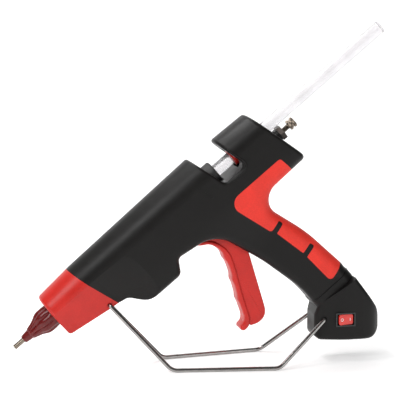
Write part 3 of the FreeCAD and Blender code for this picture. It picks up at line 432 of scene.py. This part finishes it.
ROCKER_AT = np.array(JOINTS["switch_rock"]["pos_m"]) / MM
WIRE_R = 2.0
SOCKET_FROM_ROCKER_X, SOCKET_FROM_ROCKER_Z = -19.0, 0.4
SOCKET_Y, ELBOW_Y = 14.3, 19.5          # the wire's end in the base, and where it turns down to the rail
RAIL_REAR, RAIL_FRONT = (66.5, 38.0), (-32.0, 25.0)         # world (x, y) of a rail's ends
KEEL_U, KEEL_V, KEEL_HALF = 89.8, -27.6, 7.0                # the wire's middle, clipped under the nose
TIGHT_BEND, RAIL_BEND = 2.6, 12.0


def stand_wire():
    """Stand: one wire from a socket in the base to a rail, up to the nose, and back on the other side."""
    socket_x, socket_z = ROCKER_AT[0] + SOCKET_FROM_ROCKER_X, ROCKER_AT[2] + SOCKET_FROM_ROCKER_Z
    keel_x, _, keel_z = gun(KEEL_U, 0, KEEL_V) / MM
    half = [(socket_x, SOCKET_Y, socket_z), (socket_x, ELBOW_Y, socket_z), (*RAIL_REAR, WIRE_R),
            (*RAIL_FRONT, WIRE_R), (keel_x, KEEL_HALF, keel_z)]
    other_half = [(x, -y, z) for x, y, z in half[::-1]]
    bends = [TIGHT_BEND, RAIL_BEND, RAIL_BEND, TIGHT_BEND] * 2
    return tube(bent(half + other_half, bends), WIRE_R) * MM


surface("wire_stand_drawn", stand_wire(), CHROME, "gun", ["wire_stand"], sharp=60)


# ---- trigger -------------------------------------------------------------
PAD_FRONT = [(184.9, -39.6), (189.4, -43.0), (194.4, -46.4), (197.3, -51.5), (198.6, -60.5),
             (196.5, -70.5), (192.0, -83.0), (186.8, -93.8), (182.2, -104.3), (178.4, -113.5),
             (175.6, -120.3), (171.2, -124.2), (166.0, -124.3)]
PAD_BACK = [(187.4, -37.2), (193.0, -40.0), (199.4, -46.6), (203.4, -54.6), (204.6, -64.3),
            (202.2, -74.0), (196.6, -86.6), (191.0, -98.6), (186.6, -108.8), (182.8, -118.2),
            (179.2, -125.8), (173.2, -131.0), (165.6, -131.0)]
PAD_ROWS, PAD_TURNS = 220, 56
PAD_HALF = 10.3
PAD_SQUARE_ACROSS, PAD_SQUARE_THICK = 0.42, 0.62        # the lower, the squarer
PAD_TOP_TIP, PAD_FOOT_TIP = 0.025, 0.03                 # share of the way over which each end rounds off
PAD_BLUNT = 0.04
PAD_TIP_WIDTH = 0.90                                    # as a share of the full width
RIDGES = [(0.315, 1.0), (0.535, 1.2), (0.725, 1.2)]     # (share of the way, height) between the fingers
RIDGE_SPREAD, RIDGE_SINK = 0.034, 0.25


def finger_pad():
    """Finger pad: a rounded band carried between its front and back edges.

    Across the gun the section is a squared-off oval. Its front swells into ridges between the fingers,
    each a bell of the way along, and its middle is crowned. Both ends taper to a rounded tip.
    """
    front, back = spline(PAD_FRONT, PAD_ROWS), spline(PAD_BACK, PAD_ROWS)
    way = np.linspace(0, 1, PAD_ROWS)
    ridge = sum(height * np.exp(-((way - at) / RIDGE_SPREAD) ** 2) for at, height in RIDGES)
    middle, half = (front + back) / 2, (front - back) / 2
    thick = np.linalg.norm(half, axis=1)
    out = half / thick[:, None]
    angle = np.linspace(0, 2 * math.pi, PAD_TURNS, endpoint=False)
    wide = squared(np.cos(angle), PAD_SQUARE_ACROSS)
    deep = squared(np.sin(angle), PAD_SQUARE_THICK)
    ends = np.minimum(way / PAD_TOP_TIP, (1 - way) / PAD_FOOT_TIP)
    taper = PAD_BLUNT + (1 - PAD_BLUNT) * rounded(ends)
    reach = thick[:, None] * taper[:, None] * deep + np.clip(deep, 0, 1) * (ridge[:, None] - RIDGE_SINK)
    y = PAD_HALF * (PAD_TIP_WIDTH + (1 - PAD_TIP_WIDTH) * taper[:, None]) * wide
    u = middle[:, :1] + out[:, :1] * reach
    v = middle[:, 1:] + out[:, 1:] * reach
    return gun(u, y, v)


surface("trigger_finger_pad", finger_pad(), TRIGGER, "trigger", ["trigger"], sharp=75)

WEB = [(191, -40.5, 2), (202, -47, 10), (202, -72, 26), (190, -98, 50), (182, -118, 20), (176, -127.5, 4),
       (174.6, -131.4, 2), (184.6, -135.6, 6), (194.4, -132.3, 7), (221.3, -70, 10), (214, -41, 6),
       (200, -36.6, 6), (191, -40.5, 2)]
WEB_HALF, WEB_EDGE = 8.0, 0.9
web = pillow(filleted(WEB, 8)[:-1], WEB_HALF, WEB_EDGE)
surface("trigger_web", web, TRIGGER, "trigger", sharp=50)


def capsule(a, b, radius_a, radius_b, steps=20):
    """Closed outline round two circles and the straight sides between them."""
    a, b = np.array(a, float), np.array(b, float)
    lean = math.atan2(b[1] - a[1], b[0] - a[0])
    round_b = lean + np.linspace(-math.pi / 2, math.pi / 2, steps)
    round_a = lean + np.linspace(math.pi / 2, 3 * math.pi / 2, steps)
    return np.vstack([b + radius_b * np.stack([np.cos(round_b), np.sin(round_b)], 1),
                      a + radius_a * np.stack([np.cos(round_a), np.sin(round_a)], 1)])


ARM_REACH, ARM_LEAN = 25.0, math.radians(11)            # pivot to arm pin, and its lean from v
ARM_PIVOT_R, ARM_PIN_R = 5.0, 4.1
ARM_HALF, ARM_EDGE = 5.1, 0.5
arm_pin = (PIVOT_U + ARM_REACH * math.sin(ARM_LEAN), PIVOT_V + ARM_REACH * math.cos(ARM_LEAN))
arm = capsule((PIVOT_U, PIVOT_V), arm_pin, ARM_PIVOT_R, ARM_PIN_R)
surface("trigger_arm", pillow(arm, ARM_HALF, ARM_EDGE, 4), TRIGGER, "trigger", sharp=50)


# ---- rim of the loading window --------------------------------------------
RIM_R = 0.85
RIM_SINK = 0.3
RIM_TAPER, RIM_TIP = 3.0, 0.15          # length of a drawn-in end, and its tip as a share of the bead
RIM_LINE = [(263.0, 13.0, 0), (269.2, -11.6, 8), (247.0, -12.0, 0)]
SHOULDER_V, CROWN_V, FULLNESS = 2.0, 24.3, 0.58
FRONT_U, REAR_U = 40.0, 325.0
HALF_WIDTH_FRONT, HALF_WIDTH_REAR = 19.5, 25.5


def flank_y(u, v):
    """Half-width of the body: a straight flank that widens rearwards, then a Bezier arch to the crown."""
    wide = HALF_WIDTH_FRONT + (HALF_WIDTH_REAR - HALF_WIDTH_FRONT) * (u - FRONT_U) / (REAR_U - FRONT_U)
    rise = CROWN_V - SHOULDER_V
    t = np.linspace(0, 1, 200)
    arch_v = SHOULDER_V + 3 * (1 - t) ** 2 * t * FULLNESS * rise + (3 * (1 - t) * t ** 2 + t ** 3) * rise
    arch = (1 - t) ** 3 + 3 * (1 - t) ** 2 * t + 3 * (1 - t) * t ** 2 * FULLNESS
    return wide * np.interp(v, arch_v, arch)


def window_rim(side):
    """Raised bead round the window's rear and lower edge: a thin bar half sunk in the flank."""
    u, v = resampled(filleted(RIM_LINE, 12), 90).T
    line = gun(u, side * (flank_y(u, v) - RIM_SINK), v)
    run = np.r_[0, np.cumsum(np.hypot(np.diff(u), np.diff(v)))]
    ends = rounded(np.minimum(run, run[-1] - run) / RIM_TAPER)
    return tube(line, RIM_R * MM * (RIM_TIP + (1 - RIM_TIP) * ends), 20)


for label, side in (("near", -1), ("far", 1)):
    surface("window_rim_" + label, window_rim(side), BODY, "gun", sharp=60)

# ---- stroke adjuster -----------------------------------------------------
ADJUSTER_V = -13.4
KNURLS, KNURL_DEPTH = 30, 0.30
BANDS_FRONT_U, BANDS_REAR_U = 322.7, 329.3
WAIST_U, WAIST_HALF = 326.0, 1.1        # plain neck between the two knurled bands
THREAD_FRONT_U, THREAD_REAR_U = 298.5, 321.8
THREAD_PITCH, THREAD_DEPTH = 0.8, 0.22
STUD_FRONT_U, STUD_REAR_U, STUD_R, STUD_ROWS = 297.2, 322.2, 2.48, 250
SLOT_HALF, SLOT_SLOPE, SLOT_DEPTH, SLOT_FACE_U = 0.7, 0.2, 1.1, 328.8
SCREW_TIP = [(294.7, 1.5), (297.1, 1.5)]
SCREW_HEAD = [(322.3, 3.2, 0), (322.5, 4.9, 0.5), (325.0, 4.9, 0.2), (325.2, 4.1, 0.2), (326.8, 4.1, 0.2),
              (327.0, 4.9, 0.2), (329.5, 4.9, 0.7), (329.5, 1.2, 0)]


def screw_relief(u, angle):
    """Straight knurls on the head's two bands, and the thread on the stud."""
    bands = (u > BANDS_FRONT_U) & (u < BANDS_REAR_U) & (np.abs(u - WAIST_U) > WAIST_HALF)
    knurl = KNURL_DEPTH * np.abs(np.cos(KNURLS * angle / 2)) - KNURL_DEPTH / 2
    stud = (u > THREAD_FRONT_U) & (u < THREAD_REAR_U)
    turn = (u / THREAD_PITCH - angle / (2 * math.pi)) % 1
    return bands * knurl + stud * THREAD_DEPTH * (np.abs(2 * turn - 1) - 1)


def adjuster_screw():
    """Stroke adjuster: plain tip, threaded stud and knurled head with a screwdriver slot."""
    stud = np.stack([np.linspace(STUD_FRONT_U, STUD_REAR_U, STUD_ROWS), np.full(STUD_ROWS, STUD_R)], 1)
    u, y, v = spun(np.vstack([SCREW_TIP, stud, filleted(SCREW_HEAD, 5)]), 120, screw_relief)
    slot = np.clip(SLOT_HALF - np.abs(y), 0, SLOT_SLOPE) / SLOT_SLOPE * (u > SLOT_FACE_U)
    return gun(u - SLOT_DEPTH * slot, y, v + ADJUSTER_V)


surface("adjuster_screw_knurled", adjuster_screw(), NICKEL, "adjuster", ["adjuster_screw"],
        sharp=35)


# ---- glue stick ----------------------------------------------------------
STICK_R, STICK_FRONT_U, STICK_END_U = 6.0, 148.0, 448.0
STICK_STRAIGHT = (152, 300, 444)        # places along the straight run
STICK_CORE_R = 0.6                      # where the end faces are closed
STICK_PROFILE = [(STICK_FRONT_U, STICK_CORE_R, 0), (STICK_FRONT_U, STICK_R, 0.8),
                 *((u, STICK_R, 0) for u in STICK_STRAIGHT),
                 (STICK_END_U, STICK_R, 0.9), (STICK_END_U, STICK_CORE_R, 0)]
DRIFT, DRIFT_U = 0.03, 17.0
LOBE, LOBE_U = 0.02, 90.0


def extruded(u, angle):
    """Slight unevenness of an extruded stick: long drifts along it and a faint three-sided form."""
    return DRIFT * (np.sin(u / DRIFT_U + angle) - 1) + LOBE * (np.cos(3 * angle + u / LOBE_U) - 1)


stick = spun(resampled(filleted(STICK_PROFILE, 6), 240, corners=True), 64, extruded)
surface("glue_stick_extruded", gun(*stick), GLUE, "stick", ["glue_stick"], sharp=50)


# ---- rocker of the switch ------------------------------------------------
ROCKER_TILT = math.radians(10)
ROCKER_HALF = np.array([7.2, 5.0])
ROCKER_SQUARE = 0.28                    # the lower, the squarer
ROCKER_RISE = 1.8                       # from the pivot out to the switch's face
DISH_FLOOR, DISH_RISE = 0.55, 0.75      # height of the dished face in its middle, and its rise to the ends
SKIRT_LIFT = 0.9
MARK_R, MARK_LINE = 1.25, 0.28
MARK_OFF_X, MARK_ON_X = -4.0, 4.2
MARK_LIFT, MARK_BULGE = 0.04, 0.05
BAR_HALF, BAR_TIP, BAR_LINE = 1.4, 1.41, 0.26


def tipped(x, z, out):
    """World points of the rocker: x along it, z across it, out from its pivot."""
    along, away = math.cos(ROCKER_TILT), math.sin(ROCKER_TILT)
    return (ROCKER_AT + np.stack([x * along + out * away, x * away - out * along, z], -1)) * MM


def dished(x):
    """Height of the rocker's face above the switch's face."""
    return DISH_FLOOR + DISH_RISE * (x / ROCKER_HALF[0]) ** 2


def rocker():
    """Rocker: a squared-off oval seen from the front, its face dished lengthwise, its skirt drawn in."""
    angle = np.linspace(0, 2 * math.pi, 96, endpoint=False)
    share = np.r_[np.linspace(0.04, 0.93, 16), 0.975, 1.0, 1.0, 0.99, 0.86, 0.80][:, None]
    lift = np.r_[np.zeros(16), -0.08, -0.3, -0.8, -1.6, -3.6, -4.4][:, None]
    x = ROCKER_HALF[0] * share * squared(np.cos(angle), ROCKER_SQUARE)
    z = ROCKER_HALF[1] * share * squared(np.sin(angle), ROCKER_SQUARE)
    return tipped(x, z, ROCKER_RISE + lift + np.where(lift > -1, dished(x), SKIRT_LIFT))


def on_rocker(x, z, lift):
    """World points of marks that stand a little above the rocker's face."""
    return tipped(x, z, ROCKER_RISE + dished(x) + lift)


surface("switch_rocker_lens", rocker(), LENS_RED, "rocker", ["switch_rocker"], sharp=50)

band = np.linspace(0, 2 * math.pi, 8, endpoint=False)[None, :]
ring = np.linspace(0, 2 * math.pi, 40, endpoint=False)[:, None]
reach = MARK_R + MARK_LINE * np.cos(band)
mark_off = on_rocker(MARK_OFF_X + reach * np.cos(ring), reach * np.sin(ring),
                     MARK_LIFT + MARK_BULGE * np.sin(band))
surface("switch_mark_off", mark_off, PRINT, "rocker", loop=True, sharp=80)
rows = np.linspace(-BAR_HALF, BAR_HALF, 12)[:, None]
end = np.sqrt(np.clip(1 - (rows / BAR_TIP) ** 8, 0, 1))
mark_on = on_rocker(MARK_ON_X + BAR_LINE * end * np.cos(band), rows + 0 * band,
                    MARK_LIFT + MARK_BULGE * end * np.sin(band))
surface("switch_mark_on", mark_on, PRINT, "rocker", sharp=80)


# ---- stage: floor, lights, camera ----------------------------------------
FLOOR_FRONT_Y, FLOOR_HALF_WIDTH = -4.0, 5.0
WALL_Y, WALL_TOP, CORNER_R = 3.0, 5.0, 1.4
FLOOR_SHADE, FLOOR_GLOW, WORLD_GLOW = 0.94, 0.38, 0.15


def sweep():
    """Studio sweep: a level floor that turns up into a wall through a quarter circle."""
    bend = np.linspace(0, math.pi / 2, 24)
    reach = np.r_[FLOOR_FRONT_Y, WALL_Y - CORNER_R * (1 - np.sin(bend)), WALL_Y]
    height = np.r_[0.0, CORNER_R * (1 - np.cos(bend)), WALL_TOP]
    x = np.linspace(-FLOOR_HALF_WIDTH, FLOOR_HALF_WIDTH, 3)[:, None]
    grid = np.stack(np.broadcast_arrays(x, reach[None], height[None]), -1)
    index = np.arange(grid.shape[0] * grid.shape[1]).reshape(grid.shape[:2])
    mesh = bpy.data.meshes.new("floor")
    mesh.from_pydata(grid.reshape(-1, 3), [], quads(index))
    mesh.polygons.foreach_set("use_smooth", np.ones(len(mesh.polygons), bool))
    return mesh


floor_material = bpy.data.materials.new("pale_floor")
floor_material.use_nodes = True
floor_shader = floor_material.node_tree.nodes["Principled BSDF"]
floor_shader.inputs["Base Color"].default_value = (FLOOR_SHADE, FLOOR_SHADE, FLOOR_SHADE, 1)
floor_shader.inputs["Roughness"].default_value = 1.0
floor_shader.inputs["Specular IOR Level"].default_value = 0.0
floor_shader.inputs["Emission Color"].default_value = (1, 1, 1, 1)
floor_shader.inputs["Emission Strength"].default_value = FLOOR_GLOW
floor = bpy.data.objects.new("floor", sweep())
floor.data.materials.append(floor_material)
bpy.context.scene.collection.objects.link(floor)

world = bpy.data.worlds.new("studio")
world.use_nodes = True
world.node_tree.nodes["Background"].inputs["Color"].default_value = (1, 1, 1, 1)
world.node_tree.nodes["Background"].inputs["Strength"].default_value = WORLD_GLOW
bpy.context.scene.world = world

CENTRE = Vector((0.0, 0.0, 0.155))      # the middle of the gun
WALL = Vector((0.0, WALL_Y, 0.4))


def softbox(name, place, size, power, target=CENTRE):
    """Rectangular area light of a size in metres and a power in watts, turned to face the target."""
    light = bpy.data.lights.new(name, "AREA")
    light.shape = "RECTANGLE"
    light.size, light.size_y = size
    light.energy = power
    lamp = bpy.data.objects.new(name, light)
    lamp.location = place
    lamp.rotation_euler = (target - Vector(place)).to_track_quat("-Z", "Y").to_euler()
    bpy.context.scene.collection.objects.link(lamp)


softbox("key", (-0.9, -1.1, 1.1), (0.7, 0.7), 12)
softbox("fill", (1.1, -1.5, 0.35), (0.9, 0.9), 4)
softbox("top", (-0.45, 0.05, 1.1), (0.9, 0.3), 7)
softbox("wall", (0.0, 1.2, 2.4), (3.0, 1.0), 30, WALL)

AZIMUTH, ELEVATION, DISTANCE = math.radians(-12), math.radians(8), 1.380
LENS, SENSOR = 135, 36
AIM = Vector((-0.0005, 0.0, 0.155))
camera = bpy.data.objects.new("camera", bpy.data.cameras.new("camera"))
camera.data.lens = LENS
camera.data.sensor_width = SENSOR
back = Vector((math.sin(AZIMUTH) * math.cos(ELEVATION), -math.cos(AZIMUTH) * math.cos(ELEVATION),
               math.sin(ELEVATION)))
camera.location = AIM + back * DISTANCE
camera.rotation_euler = (-back).to_track_quat("-Z", "Y").to_euler()
bpy.context.scene.collection.objects.link(camera)
bpy.context.scene.camera = camera
bpy.context.scene.view_settings.view_transform = "Standard"

bpy.context.view_layer.update()
